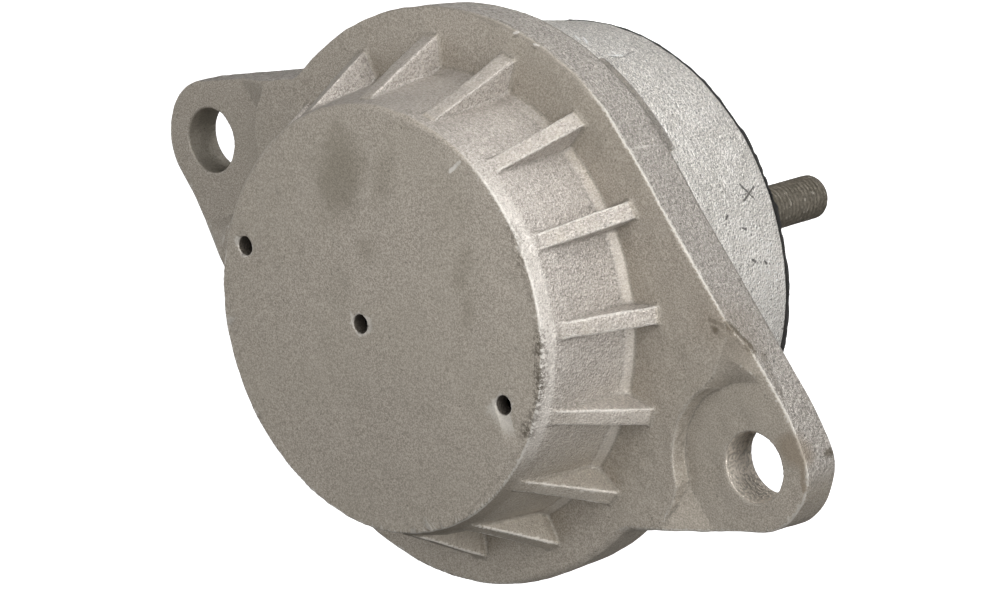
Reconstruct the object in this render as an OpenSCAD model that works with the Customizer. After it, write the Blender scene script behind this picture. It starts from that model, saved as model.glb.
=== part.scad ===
// Hydraulic engine mount with a two-ear die-cast housing, a bonded rubber
// spring in a tapered outer ring, and one long threaded stud.
// Origin: on the mount's axis, in the plane where the ears seat.
// +Z points out of the closed end of the cup, the stud points down (-Z),
// and +X runs from the axis to one of the two ears. Millimetres.

/* [Cup] */
// Outer radius of the cup wall just under the bevel of its closed end
cup_top_r = 53.4; // [50:0.1:56]
// Outer radius of the cup wall where it meets the flange
cup_foot_r = 55.6; // [54:0.1:58]
// Outer radius of the bevelled foot band at the flange face
foot_band_r = 57.1; // [56:0.1:59]
// Height of the bevelled foot band
foot_band_h = 3; // [1:0.1:5]
// Height of the closed end above the seat plane
cup_h = 42; // [38:0.1:50]
// Height of the bevel round the closed end
cup_bevel_h = 3.7; // [1:0.1:6]
// Width of the bevel round the closed end
cup_bevel_w = 1.3; // [0.5:0.1:3]
// Thickness of the closed end
cup_end_t = 4.5; // [3:0.1:7]
// Radius of each of the three vent holes
vent_r = 2.4; // [1.5:0.1:3]

/* [Flange and ears] */
// Outer radius of the round flange at its front edge
flange_r = 71.4; // [70:0.1:76]
// Thickness of the round flange
flange_t = 14.25; // [12:0.05:18]
// Distance between the two ear holes
ear_spacing = 185.2; // [180:0.1:195]
// Radius of each ear hole
ear_hole_r = 8.4; // [6:0.1:9]
// Outer radius round each ear hole
ear_r = 15.9; // [14:0.1:18]
// Thickness of an ear under its spot face
ear_t = 10.05; // [8:0.05:12]
// Radius of the spot face step round each ear hole
spot_r = 21.1; // [17:0.1:22]
// Slope of each ear's short flank
short_flank_deg = 27; // [22:1:32]
// Direction that each ear's long flank faces
long_flank_deg = 55.4; // [52:0.1:58]
// Distance of the long flank from the hole's centre
flank_r = 16.8; // [15.6:0.1:17]

/* [Gussets] */
// Number of gussets round the cup
gusset_n = 16; // [8:1:18]
// Thickness of each gusset
gusset_t = 4.0; // [3:0.1:5]
// Radius that each gusset's foot reaches on the flange
gusset_foot_r = 64.5; // [60:0.1:68]
// Height where each gusset runs out on the cup wall
gusset_top_z = 38.8; // [32:0.1:40]

/* [Outer ring] */
// Radius of the ring where it enters the housing
ring_r = 66; // [65:0.1:66.5]
// Outer radius of the ring at its open rim
ring_rim_r = 60.7; // [58:0.1:63]
// Distance of the rim below the seat plane
ring_h = 38.2; // [30:0.1:42]
// Height of the ring's foot inside the housing
ring_foot_h = 7; // [5:0.1:8]

/* [Rubber spring] */
// Thickness of the rubber left over the rim
rim_flash_t = 1.2; // [0.5:0.1:2]
// Thickness of the rubber skin over the core's head
head_skin_t = 1.4; // [0.8:0.1:2]

/* [Core and stud] */
// Radius of the core's stem
stem_r = 15; // [11:0.5:18]
// Distance of the stem's end below the seat plane
stem_end = 62; // [50:1:70]
// Radius of the core's head inside the rubber
head_r = 30.5; // [24:0.5:34]
// Outer radius of the stud's thread
stud_r = 6; // [5:0.5:7]
// Radius of the knurled shank pressed into the core
shank_r = 6.5; // [6.2:0.1:8]
// Distance of the stud's tip below the seat plane
stud_tip = 126.7; // [110:0.1:140]
// Length of the chamfer at the stud's tip
stud_chamfer = 1.7; // [0.5:0.1:3]

/* [Hydraulic insert] */
// Thickness of each channel plate
plate_t = 3.5; // [3:0.1:3.5]
// Radius of the decoupler membrane
decoupler_r = 27; // [20:0.5:32]
// Wall thickness of the bellows
bellows_t = 1.8; // [1.2:0.1:2.5]

/* [Hidden] */
$fn = 96;

ear_x = ear_spacing / 2;
step_z = ring_foot_h + 2.5;            // clamping step inside the housing
cavity_top = cup_h - cup_end_t;
ring_in0 = ring_r - 6.5;               // ring bore just under its shoulder
ring_in1 = ring_rim_r - 3.7;           // ring bore at the rim
bond_z = -18;                          // upper end of the rubber on the ring
function ring_in(z) = ring_in0 + (ring_in1 - ring_in0) * (-z) / ring_h;
function ring_out(z) = ring_r + (ring_rim_r - ring_r) * (-z) / ring_h;
// points of an arc: centre (x, y), radius, from a to b degrees in n steps
function arc(x, y, r, a, b, n) = [for (i = [0:n]) let (t = a + (b - a) * i / n) [x + r * cos(t), y + r * sin(t)]];

// ---------- housing ----------

// cup and flange, half section (radius, height)
module cup_section() {
    polygon(concat(
        [[0, 0], [flange_r - 2.5, 0]],
        [for (p = arc(flange_r - 1.6, 1.5, 1.5, -70, -15, 3)) p],
        [[flange_r, 3.2], [flange_r, flange_t]],
        [[foot_band_r, flange_t], [cup_foot_r - 0.3, flange_t + foot_band_h]],
        [[cup_top_r, cup_h - cup_bevel_h], [cup_top_r - cup_bevel_w, cup_h - 0.15], [cup_top_r - cup_bevel_w - 0.3, cup_h], [0, cup_h]]));
}

// outline of one ear, from the flange round the hole and back
module ear_outline() {
    a = long_flank_deg;
    d = ear_x * cos(a) + flank_r;      // distance of the long flank from the mount's axis
    c = a - acos(d / (flange_r - 0.4));
    b = short_flank_deg - 90;
    s = [ear_x + ear_r * cos(b), ear_r * sin(b)];
    polygon(concat(
        [[(flange_r - 0.4) * cos(c), (flange_r - 0.4) * sin(c)]],
        // round the end, a little fuller on the long flank's side
        [for (i = [0:28]) let (t = a + (b + 3 - a) * i / 28, r = ear_r + (flank_r - ear_r) * max(0, (t - 15) / (a - 15)))
            [ear_x + r * cos(t), r * sin(t)]],
        [s, [s[0] - 46 * cos(short_flank_deg), s[1] - 46 * sin(short_flank_deg)], [20, 0]]));
}

// spot face round the hole, with its ends flaring to both flanks
module spot_face() {
    translate([ear_x, 0]) {
        circle(r = spot_r);
        polygon([[-17, 12.4], [-15.4, 18.5], [-14.4, 23], [-9.5, 27], [-4, 34], [24, 34],
                 [24, -30], [-5, -30], [-8, -19.5], [-13.5, -16.6], [-17, -12.4]]);
    }
}

module ear() {
    difference() {
        linear_extrude(height = flange_t) ear_outline();
        translate([0, 0, ear_t]) linear_extrude(height = flange_t) spot_face();
    }
}

module gusset() {
    // square-cut web that leans from the flange onto the cup wall
    translate([0, gusset_t / 2, 0]) rotate([90, 0, 0]) linear_extrude(height = gusset_t)
        polygon([[cup_top_r - 1.4, flange_t - 2], [gusset_foot_r, flange_t - 2], [gusset_foot_r, flange_t + 0.9],
                 [cup_top_r - 1, gusset_top_z + 1.4], [cup_top_r - 1.4, gusset_top_z + 1.4]]);
}

// raised pad behind the flange, notched at both ends
module retaining_pad() {
    rotate([0, 0, 53.5]) rotate_extrude(angle = 24.5)
        polygon([[ring_r - 0.6, 0.5], [ring_r - 0.6, -1.6], [67.2, -2.7], [69, -2.7], [69.5, -2.2], [69.5, 0.5]]);
}

module housing() {
    color([0.62, 0.59, 0.54]) difference() {
        union() {
            rotate_extrude() cup_section();
            for (a = [0, 180]) rotate([0, 0, a]) {
                ear();
                retaining_pad();
            }
            for (i = [0:gusset_n - 1]) rotate([0, 0, i * 360 / gusset_n]) gusset();
        }
        // nest for the ring, clamping step and air chamber
        translate([0, 0, -5]) cylinder(r = ring_r, h = step_z + 5);
        translate([0, 0, step_z - 1]) cylinder(r1 = 51, r2 = 49, h = cavity_top - step_z + 1);
        for (v = [[-45.5, -1.4], [-4.7, -3.1], [42.4, -1.3]])
            translate([v[0], v[1], cavity_top - 2]) cylinder(r = vent_r, h = cup_end_t + 4);
        for (s = [-1, 1]) translate([s * ear_x, 0, -2]) cylinder(r = ear_hole_r, h = flange_t + 4);
    }
}

// ---------- bonded unit ----------

module outer_ring() {
    color([0.76, 0.76, 0.74]) rotate_extrude() polygon([
        [ring_r - 4, ring_foot_h], [ring_r - 0.5, ring_foot_h], [ring_r, ring_foot_h - 0.8], [ring_r, 0],
        [ring_out(-ring_h + 0.8), -ring_h + 0.8], [ring_rim_r - 0.7, -ring_h],
        [ring_in1, -ring_h], [ring_in0, 0], [ring_r - 4, 0]]);
}

module rubber_spring() {
    color([0.09, 0.09, 0.09]) rotate_extrude() polygon(concat(
        // over the core's head and out to the ring
        [[0, -8], [0, -8 + head_skin_t], [head_r - 1.5, -8 + head_skin_t], [head_r + 1, -8.2], [39, -11.2], [46, -14.4], [53, -17], [ring_in(bond_z), bond_z]],
        // down the ring, over its rim and back as a lip
        [[ring_in1, -ring_h], [ring_rim_r - 0.7, -ring_h], [ring_rim_r + 0.3, -ring_h - 0.1], [ring_rim_r + 0.2, -ring_h - rim_flash_t * 0.7],
         [ring_rim_r - 1.5, -ring_h - rim_flash_t], [56, -ring_h - rim_flash_t]],
        // funnel from the rim up to the stem
        [[53.5, -37.6], [49, -34.8], [43, -31.9], [37, -29.7], [31, -28.3], [25, -27.8], [20, -28.3], [17, -29.4], [stem_r, -31.5]],
        // along the core back to the head
        [[stem_r, -29], [16.5, -26], [head_r, -12], [head_r, -9.4], [head_r - 1.4, -8]]));
}

module core() {
    color([0.55, 0.54, 0.52]) difference() {
        rotate_extrude() polygon([[0, -8], [head_r - 1.4, -8], [head_r, -9.4], [head_r, -12], [16.5, -26], [stem_r, -29],
                                  [stem_r, -stem_end + 1.2], [stem_r - 1.2, -stem_end], [0, -stem_end]]);
        translate([0, 0, -stem_end - 1]) cylinder(r = shank_r, h = stem_end - 34 + 1);
    }
}

module stud() {
    color([0.42, 0.40, 0.37]) rotate_extrude() polygon([
        [0, -34], [shank_r - 1, -34], [shank_r, -35], [shank_r, -stem_end], [stud_r, -stem_end],
        [stud_r, -stud_tip + stud_chamfer], [stud_r - 1.4, -stud_tip], [0, -stud_tip]]);
}

// ---------- hydraulic insert ----------

// grid of small holes over the decoupler
module grid_holes() {
    translate([0, 0, -1]) cylinder(r = 2, h = 20);
    for (k = [1:3]) for (i = [0:6 * k - 1]) rotate([0, 0, i * 60 / k])
        translate([6.8 * k, 0, -1]) cylinder(r = 2, h = 20);
}

module upper_channel_plate() {
    color([0.68, 0.68, 0.66]) difference() {
        translate([0, 0, plate_t]) cylinder(r = ring_r - 4.1, h = plate_t);
        // long ring channel, open on the lower side
        translate([0, 0, plate_t - 1]) rotate([0, 0, 10]) rotate_extrude(angle = 335) translate([44, 0]) square([9, 3.4]);
        // the channel's outlet to the bellows side
        translate([0, 0, plate_t - 1]) rotate([0, 0, 10]) rotate_extrude(angle = 14) translate([44, 0]) square([9, plate_t + 3]);
        translate([0, 0, plate_t - 1]) cylinder(r = decoupler_r, h = 2);
        grid_holes();
    }
}

module lower_channel_plate() {
    color([0.66, 0.66, 0.64]) difference() {
        cylinder(r = ring_r - 4.1, h = plate_t);
        // the channel's inlet from the working chamber
        translate([0, 0, -1]) rotate([0, 0, 331]) rotate_extrude(angle = 14) translate([44, 0]) square([9, plate_t + 3]);
        translate([0, 0, plate_t - 1]) cylinder(r = decoupler_r, h = 2);
        grid_holes();
    }
}

module decoupler_membrane() {
    // thick rim held between the plates, thinner free middle
    color([0.12, 0.12, 0.12]) rotate_extrude() polygon([
        [0, plate_t - 0.6], [22.5, plate_t - 0.6], [23.5, plate_t - 1], [decoupler_r - 0.1, plate_t - 1],
        [decoupler_r - 0.1, plate_t + 1], [23.5, plate_t + 1], [22.5, plate_t + 0.6], [0, plate_t + 0.6]]);
}

module bellows() {
    // one soft roll between a flat middle and the clamped rim
    function mid(r) = 15.5 - 4 * cos(r * 180 / 23);
    n = 23;
    color([0.12, 0.12, 0.12]) rotate_extrude() polygon(concat(
        [for (i = [0:n]) let (r = 46 * i / n) [r, mid(r) + bellows_t / 2]],
        [[49, step_z], [ring_r - 0.4, step_z], [ring_r - 0.4, ring_foot_h], [50, ring_foot_h]],
        [for (i = [n:-1:0]) let (r = 46 * i / n) [r, mid(r) - bellows_t / 2]]));
}

housing();
outer_ring();
rubber_spring();
core();
stud();
upper_channel_plate();
lower_channel_plate();
decoupler_membrane();
bellows();
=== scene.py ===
import math

import bpy
import numpy as np
import openvdb as vdb
from mathutils import Matrix, Vector


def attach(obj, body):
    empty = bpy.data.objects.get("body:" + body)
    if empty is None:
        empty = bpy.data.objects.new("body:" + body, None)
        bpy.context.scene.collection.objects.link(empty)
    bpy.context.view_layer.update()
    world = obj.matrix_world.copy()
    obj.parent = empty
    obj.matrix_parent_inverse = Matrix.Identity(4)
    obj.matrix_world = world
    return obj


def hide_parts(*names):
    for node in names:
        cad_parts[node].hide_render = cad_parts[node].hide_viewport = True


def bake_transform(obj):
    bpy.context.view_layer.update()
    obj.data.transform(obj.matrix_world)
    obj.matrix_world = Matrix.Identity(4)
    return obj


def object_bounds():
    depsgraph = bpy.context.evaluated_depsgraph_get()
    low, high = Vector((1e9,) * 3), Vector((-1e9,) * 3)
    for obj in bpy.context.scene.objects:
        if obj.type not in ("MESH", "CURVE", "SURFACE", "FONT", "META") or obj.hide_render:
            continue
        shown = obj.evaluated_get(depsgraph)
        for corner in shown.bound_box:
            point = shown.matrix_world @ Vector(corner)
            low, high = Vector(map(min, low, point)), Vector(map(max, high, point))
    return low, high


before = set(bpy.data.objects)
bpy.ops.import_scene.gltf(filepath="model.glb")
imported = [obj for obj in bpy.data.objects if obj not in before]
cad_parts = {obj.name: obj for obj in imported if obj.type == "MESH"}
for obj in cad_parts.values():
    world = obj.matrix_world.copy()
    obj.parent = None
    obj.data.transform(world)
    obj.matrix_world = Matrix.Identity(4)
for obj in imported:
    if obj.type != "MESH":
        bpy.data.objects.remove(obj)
cad_lo, cad_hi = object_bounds()
scene = bpy.context.scene
MM = 0.001

# ---------------------------------------------------------------- camera
cam_data = bpy.data.cameras.new("camera")
cam = bpy.data.objects.new("camera", cam_data)
scene.collection.objects.link(cam)
cam_data.sensor_width = 36.0
cam_data.lens = 139.74
cam_data.clip_start, cam_data.clip_end = 0.05, 20.0
right = Vector((0.7136, 0.1972, -0.6723)).normalized()
up = Vector((-0.4277, 0.8826, -0.1951))
up = (up - right * up.dot(right)).normalized()
back = right.cross(up)
rot = Matrix((right, up, back)).transposed().to_4x4()
cam.matrix_world = Matrix.Translation((0.52826, 0.40342, 0.67742)) @ rot
scene.camera = cam

# ---------------------------------------------------------------- shape helpers (millimetres)
rng = np.random.RandomState(7)


def rmax(a, b, r):
    """Intersection of two solids with a rounded outer edge of radius r."""
    u = np.maximum(a + r, 0)
    v = np.maximum(b + r, 0)
    return np.minimum(np.maximum(a, b), -r) + np.sqrt(u * u + v * v) * 1.0


def rmin(a, b, r):
    """Union of two solids with a fillet of radius r."""
    u = np.maximum(r - a, 0)
    v = np.maximum(r - b, 0)
    return np.maximum(np.minimum(a, b), r) - np.sqrt(u * u + v * v)


def smooth(t):
    t = np.clip(t, 0, 1)
    return t * t * (3 - 2 * t)


def poly_sdf(px, py, pts):
    """Signed distance (negative inside) of points to a closed outline."""
    pts = np.asarray(pts, float)
    d = np.full(px.shape, 1e9)
    inside = np.zeros(px.shape, bool)
    for i in range(len(pts)):
        ax, ay = pts[i]
        bx, by = pts[(i + 1) % len(pts)]
        ex, ey = bx - ax, by - ay
        wx, wy = px - ax, py - ay
        t = np.clip((wx * ex + wy * ey) / (ex * ex + ey * ey + 1e-12), 0, 1)
        d = np.minimum(d, (wx - ex * t) ** 2 + (wy - ey * t) ** 2)
        cross = ((ay > py) != (by > py)) & (px < ex * (py - ay) / (ey + (1e-12 if ey == 0 else 0)) + ax)
        inside ^= cross
    d = np.sqrt(d)
    return np.where(inside, -d, d)


class Waves:
    """Smooth seeded noise: a sum of plane waves of one mean wavelength, in millimetres."""

    def __init__(self, length, count, seed):
        r = np.random.RandomState(seed)
        k = r.normal(size=(count, 3))
        k /= np.linalg.norm(k, axis=1)[:, None]
        k *= (2 * np.pi / (length * r.uniform(0.6, 1.6, count)))[:, None]
        self.k, self.p = k, r.uniform(0, 2 * np.pi, count)
        self.n = math.sqrt(2.0 / count)

    def __call__(self, pts):
        out = np.zeros(len(pts))
        for k, p in zip(self.k, self.p):
            out += np.sin(pts @ k + p)
        return out * self.n


def new_mesh(name, verts_mm, faces, smooth_shade=True):
    me = bpy.data.meshes.new(name)
    v = np.asarray(verts_mm, np.float32) * MM
    me.vertices.add(len(v))
    me.vertices.foreach_set("co", v.ravel())
    if isinstance(faces, tuple):
        tris, quads = faces
        n = len(tris) * 3 + len(quads) * 4
        loops = np.concatenate([np.asarray(tris, np.int32).ravel(), np.asarray(quads, np.int32).ravel()])
        starts = np.concatenate([np.arange(len(tris)) * 3, len(tris) * 3 + np.arange(len(quads)) * 4]).astype(np.int32)
    else:
        f = np.asarray(faces, np.int32)
        n = f.size
        loops = f.ravel()
        starts = (np.arange(len(f)) * f.shape[1]).astype(np.int32)
    me.loops.add(n)
    me.loops.foreach_set("vertex_index", loops)
    me.polygons.add(len(starts))
    me.polygons.foreach_set("loop_start", starts)
    me.update(calc_edges=True)
    me.validate()
    if smooth_shade:
        me.polygons.foreach_set("use_smooth", np.ones(len(me.polygons), bool))
    ob = bpy.data.objects.new(name, me)
    scene.collection.objects.link(ob)
    return ob


def lathe(name, profile, n, wobble=None, closed=True):
    """Turns a closed (r, z) profile round Z, in n steps. wobble(points, profile_index) may move the points."""
    prof = np.asarray(profile, float)
    m = len(prof)
    th = np.arange(n) * 2 * np.pi / n
    r = prof[None, :, 0] + 0 * th[:, None]
    z = prof[None, :, 1] + 0 * th[:, None]
    if wobble is not None:
        dr, dz = wobble(th[:, None] + 0 * r, r, z)
        r, z = r + dr, z + dz
    pts = np.stack([r * np.cos(th)[:, None], r * np.sin(th)[:, None], z], -1).reshape(-1, 3)
    i = np.arange(n)[:, None]
    j = np.arange(m if closed else m - 1)[None, :]
    a = i * m + j
    b = ((i + 1) % n) * m + j
    c = ((i + 1) % n) * m + (j + 1) % m
    d = i * m + (j + 1) % m
    quads = np.stack([a, b, c, d], -1).reshape(-1, 4)
    return new_mesh(name, pts, quads)


def resample(profile, step):
    """Splits the long sides of a closed profile, so that no side is longer than step."""
    out = []
    for i in range(len(profile)):
        a, b = np.array(profile[i], float), np.array(profile[(i + 1) % len(profile)], float)
        k = max(1, int(math.ceil(np.linalg.norm(b - a) / step)))
        out += [a + (b - a) * t / k for t in range(k)]
    return out


def rounded(profile, radii, steps=5):
    """Rounds the corners of a closed profile."""
    out = []
    n = len(profile)
    for i in range(n):
        p, c, q = (np.array(profile[(i + k) % n], float) for k in (-1, 0, 1))
        r = radii[i] if isinstance(radii, (list, tuple)) else radii
        u, v = p - c, q - c
        lu, lv = np.linalg.norm(u), np.linalg.norm(v)
        u, v = u / lu, v / lv
        cosang = float(np.clip(u @ v, -1, 1))
        half = math.acos(cosang) / 2
        if r <= 0 or half > 1.5:
            out.append(c)
            continue
        t = min(r / math.tan(half), lu * 0.45, lv * 0.45)
        for k in range(steps + 1):
            s = k / steps
            out.append((c + u * t) * (1 - s) ** 2 + c * 2 * s * (1 - s) + (c + v * t) * s * s)
    return out


def apply_modifiers(ob):
    dg = bpy.context.evaluated_depsgraph_get()
    me = bpy.data.meshes.new_from_object(ob.evaluated_get(dg))
    old = ob.data
    ob.modifiers.clear()
    ob.data = me
    me.name = ob.name
    bpy.data.meshes.remove(old)


# ---------------------------------------------------------------- housing casting
EAR_X, FL_T, CUP_H, SPOT_Z = 92.6, 14.25, 42.0, 10.05
LONG = (math.cos(math.radians(55.4)), math.sin(math.radians(55.4)))
SHORT = (0.454, -0.891)


def polar(*pairs):
    """Points round the ear hole, given as degrees and radius."""
    return [(EAR_X + r * math.cos(math.radians(a)), r * math.sin(math.radians(a))) for a, r in pairs]


def on_flank(d, x):
    return (x, (d - LONG[0] * x) / LONG[1])


def cut_corners(pts, times=2):
    """Rounds an open chain of points, its ends stay."""
    pts = [np.array(p, float) for p in pts]
    for _ in range(times):
        out = [pts[0]]
        for a, b in zip(pts[:-1], pts[1:]):
            out += [a * 0.75 + b * 0.25, a * 0.25 + b * 0.75]
        pts = out + [pts[-1]]
    return pts


def ear_outline(level, turned):
    """Outline of an ear at the seat (0), the spot face (1) and the flange face (2). The ear at -X is turned by
    half a turn, and its long flank is cut further in at the front."""
    d = (69.5, 70.2, 70.6)[level]
    if level == 0:
        chain = [on_flank(d, 80), on_flank(d, 92), (96.65, 17.8), (100.6, 14.5), (104.0, 11.45), (106.35, 8.9), (107.8, 6.15),
                 (108.35, 2.55)] + polar((-6, 15.8), (-15, 15.82), (-25, 15.85), (-35, 15.85), (-45, 15.85), (-54, 15.8), (-63, 15.6))
    elif turned:
        short = (0, 15.2, 14.3)[level]
        d = (0, 70.9, 66.6)[level]
        chain = ([on_flank(70.7, 78), on_flank(69.9, 83), on_flank(69.1, 87), on_flank(68.3, 91.5), on_flank(67.8, 97)] if level == 1 else
                 [on_flank(66.3, 75), on_flank(65.7, 79), on_flank(65.2, 82), on_flank(64.9, 88)]) + polar((52, 15.42), (42, 15.4), (33, 15.35), (24, 15.3), (14, 15.32), (5, 15.45),
                 (-4, 15.57), (-14, 15.62), (-25, 15.7), (-35, 15.75), (-46, 15.7), (-56, 15.6), (-63, short))
    else:
        up = 0.5 if level == 2 else 0.0
        chain = [on_flank(d, 78), on_flank(70.2 + up, 82.0), on_flank(69.9 + up, 84.7), on_flank(69.35 + up, 86.6), on_flank(69.25, 91.0),
                 on_flank(69.1, 96.0), on_flank(68.9, 99.0), (101.75, 12.6), (104.4, 9.7), (106.6, 7.0), (107.85, 3.4), (108.0, -0.8)]
        end = (15.1, 15.2, 15.35, 15.5, 15.5) if level == 1 else (15.0, 14.8, 14.7, 14.6, 14.5)
        chain += polar(*zip((-14, -26, -38, -51, -63), end))
    chain = [on_flank(d, 40)] + cut_corners(chain)
    s = chain[-1]
    return chain + [(s[0] + 46 * SHORT[1], s[1] - 46 * SHORT[0]), (20, 0)]


def arc(r, a0, a1, n):
    return [(r * math.cos(math.radians(a0 + (a1 - a0) * i / n)), r * math.sin(math.radians(a0 + (a1 - a0) * i / n))) for i in range(n + 1)]


# the spot face round an ear hole, relative to the hole: its floor, and the larger outline where its banks reach the flange face
FLOOR = ([(-5.5, 36), (-6.9, 27.5), (-5.2, 24.5), (-3.4, 21.8), (-4.2, 19.7), (-6.8, 18.7), (-9.5, 17.6), (-12, 15.8), (-14.4, 13.3), (-16.6, 11.2)]
         + arc(20.3, 152, 204, 12) + [(-17.7, -9.9), (-16.6, -11.8), (-16.1, -14), (-16.1, -18), (-16.8, -30), (30, -30), (40, 36)])
BANK = ([(-16, 42), (-15, 36), (-14.4, 31.5), (-13.6, 28), (-13.7, 25.1), (-14.1, 22.3), (-14.1, 20.2), (-14.5, 17.4), (-15.8, 14.4)]
        + arc(21.0, 138, 208, 14) + [(-17.5, -11.6), (-16.9, -13.2), (-16.9, -17.6), (-17.8, -21.2), (-17.8, -32), (32, -32), (44, 42)])


def build_housing():
    h = 0.4
    lo = np.array([-110.5, -73.5, -4.5])
    hi = np.array([110.5, 73.5, 45.0])
    n = np.ceil((hi - lo) / h).astype(int) + 1
    x = (lo[0] + h * np.arange(n[0])).astype(np.float32)[:, None]
    y = (lo[1] + h * np.arange(n[1])).astype(np.float32)[None, :]
    z = (lo[2] + h * np.arange(n[2])).astype(np.float32)[None, None, :]
    X, Y = x + 0 * y, y + 0 * x
    R = np.sqrt(X * X + Y * Y)
    f32 = lambda a: a.astype(np.float32)[:, :, None]
    # the left half is turned by half a turn, so that both ears share one set of coordinates
    left = X < 0
    sx = np.where(left, -1.0, 1.0)
    EX, EY = X * sx, Y * sx
    AZ = np.degrees(np.arctan2(EY, EX))
    # plan outline at three heights: flange disc with its long flat, and the ears
    side = 0
    true = np.degrees(np.arctan2(Y, X))
    # the side has no draft toward the lower right
    full = smooth((true + 85) / 20.0) * smooth((-15 - true) / 15.0)
    cuts = (70.2, 69.5), (71.05, 70.2), (71.4, 70.6)
    hat = (np.clip(1 - z / SPOT_Z, 0, 1), np.minimum(np.clip(z / SPOT_Z, 0, 1), np.clip((FL_T - z) / (FL_T - SPOT_Z), 0, 1)),
           np.clip((z - SPOT_Z) / (FL_T - SPOT_Z), 0, 1))
    for level, (r, d) in enumerate(cuts):
        ear = np.where(left, poly_sdf(EX, EY, ear_outline(level, True)), poly_sdf(EX, EY, ear_outline(level, False)))
        disc = np.maximum(R - (r + (71.4 - r) * full), LONG[0] * EX + LONG[1] * EY - d)
        side = side + f32(rmin(disc, ear, 1.2)) * hat[level]
    # top surface: flange level, with the spot faces let in
    hx, hy = EX - EAR_X, EY
    near = (np.abs(hx) < 24) & (np.abs(hy) < 42)
    d1 = np.where(near, np.maximum(poly_sdf(hx, hy, FLOOR), 0), 1.0)
    d2 = np.where(near, np.maximum(-poly_sdf(hx, hy, BANK), 0), 0.0)
    rise = d1 / (d1 + d2 + 1e-6)
    rise = 0.55 * rise + 0.45 * smooth(rise)
    low = np.clip(0.42 * (-0.6 * (hx + 15.4) - 0.8 * (hy + 13.5)) / (FL_T - SPOT_Z), 0, 1)
    low = np.where(near & (hy < -9), low, 0)
    top = SPOT_Z + (FL_T - SPOT_Z) * np.clip(np.maximum(rise, low), 0, 1)
    top = np.where(EX < 66, FL_T, np.where(hx > 4, SPOT_Z, top))
    gx, gy = np.gradient(top, h)
    slope = np.sqrt(1 + gx * gx + gy * gy)
    # the flange's front edge is crisp along the ears and soft round the top
    soft = smooth((true - 62) / 12.0) * smooth((108 - true) / 14.0)
    low_right = smooth((true + 66) / 14.0) * smooth((-18 - true) / 10.0)
    edge = f32(0.4 + 1.2 * soft + 1.5 * low_right)
    top, slope, R3 = f32(top), f32(slope), f32(R)
    slab = rmax(side, (z - top) / slope, edge)
    slab = rmax(slab, -z, 0.8)
    # cup: drafted wall with a coned foot and a rounded closed end
    wall = (R3 - (55.6 - 0.0897 * (z - FL_T))) * 0.996
    foot = (R3 - 56.95) * 0.864 + (z - FL_T) * 0.504
    # bevel turned a little off the cup's axis
    rim = f32(52.1 + 0.7 * Y / np.maximum(R, 1) + 0.95 * smooth((-55 - true) / 25.0) * smooth((true + 185) / 30.0))
    bevel = (R3 - (rim + (53.44 - rim) * (CUP_H - z) / 3.7)) * 0.96
    blunt = smooth((true - 62) / 30.0) * smooth((200 - true % 360) / 40.0)
    sharp = smooth((true + 25) / 30.0) * smooth((90 - true) / 20.0)
    cup = rmax(rmax(rmin(wall, foot, 0.25), bevel, f32(2.2 - 1.4 * sharp)), z - CUP_H, f32(0.25 + 1.6 * blunt))
    cup = np.maximum(cup, 2.0 - z)
    body = rmin(slab, cup, 0.3)
    # gussets
    ang = np.arctan2(Y, X)
    pitch = 2 * np.pi / 16
    da = (ang + pitch / 2) % pitch - pitch / 2
    U, V = f32(R * np.cos(da)), f32(np.abs(R * np.sin(da)))
    lean = (U - 64.6) * 0.905 + (z - FL_T) * 0.4254
    web = rmax(V - (1.95 + 0.012 * (40 - z)), lean, 0.35)
    web = np.maximum(web, np.maximum(46 - U, 8.0 - z))
    web = rmax(web, z - (CUP_H - 3.2), 0.8)
    body = rmin(body, web, 0.8)
    # pads behind the flange
    aa = np.degrees(ang) % 180.0
    half = (12.25 - np.abs(aa - 65.75)) * (np.pi / 180) * R
    pad = rmax(rmax(f32(-half), R3 - 69.5, 0.7), np.maximum(-z - 2.7, z - 3.0), 0.6)
    pad = np.maximum(pad, 62 - R3)
    body = rmin(body, pad, 0.5)
    del web, pad, slab, cup, wall, foot
    # nest for the ring, air chamber, vents and ear holes
    cut = np.maximum(R3 - 66.0, z - 9.5)
    cut = np.minimum(cut, np.maximum(R3 - (51.0 - 0.066 * (z - 8.5)), z - 37.5))
    body = rmax(body, -cut, 0.35)
    del cut
    for vx, vy in ((-45.6, -1.4), (-4.7, -3.05), (42.4, -1.3)):
        c = f32(np.sqrt((X - vx) ** 2 + (Y - vy) ** 2) - 2.4)
        body = rmax(body, np.minimum(-c, z - 30), 0.15)
    c = f32(np.sqrt(hx * hx + hy * hy) - 8.4)
    body = rmax(body, -c, 0.25)
    # curvature of the surface, kept for edge wear, painted edge highlights and painted shade in crevices
    g = vdb.FloatGrid(3.0)
    g.copyFromArray(np.clip(body, -3, 3).astype(np.float32))
    pts, tris, quads = g.convertToPolygons(isovalue=0.0, adaptivity=0.0)
    pts = pts.astype(float)
    # Laplacian and gradient at the surface, one cell around each point
    ip = np.clip(np.round(pts).astype(int), 2, n - 3)
    i, j, k = ip.T
    s = 1
    lap = (body[i + s, j, k] + body[i - s, j, k] + body[i, j + s, k] + body[i, j - s, k]
           + body[i, j, k + s] + body[i, j, k - s] - 6 * body[i, j, k]) / (s * h) ** 2
    flank = np.clip(1 + side[i, j, k] / 1.6, 0, 1)
    grad = np.stack([body[i + 1, j, k] - body[i - 1, j, k], body[i, j + 1, k] - body[i, j - 1, k],
                     body[i, j, k + 1] - body[i, j, k - 1]], -1)
    grad /= np.linalg.norm(grad, axis=1)[:, None] + 1e-9
    pts = lo + pts * h
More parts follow.
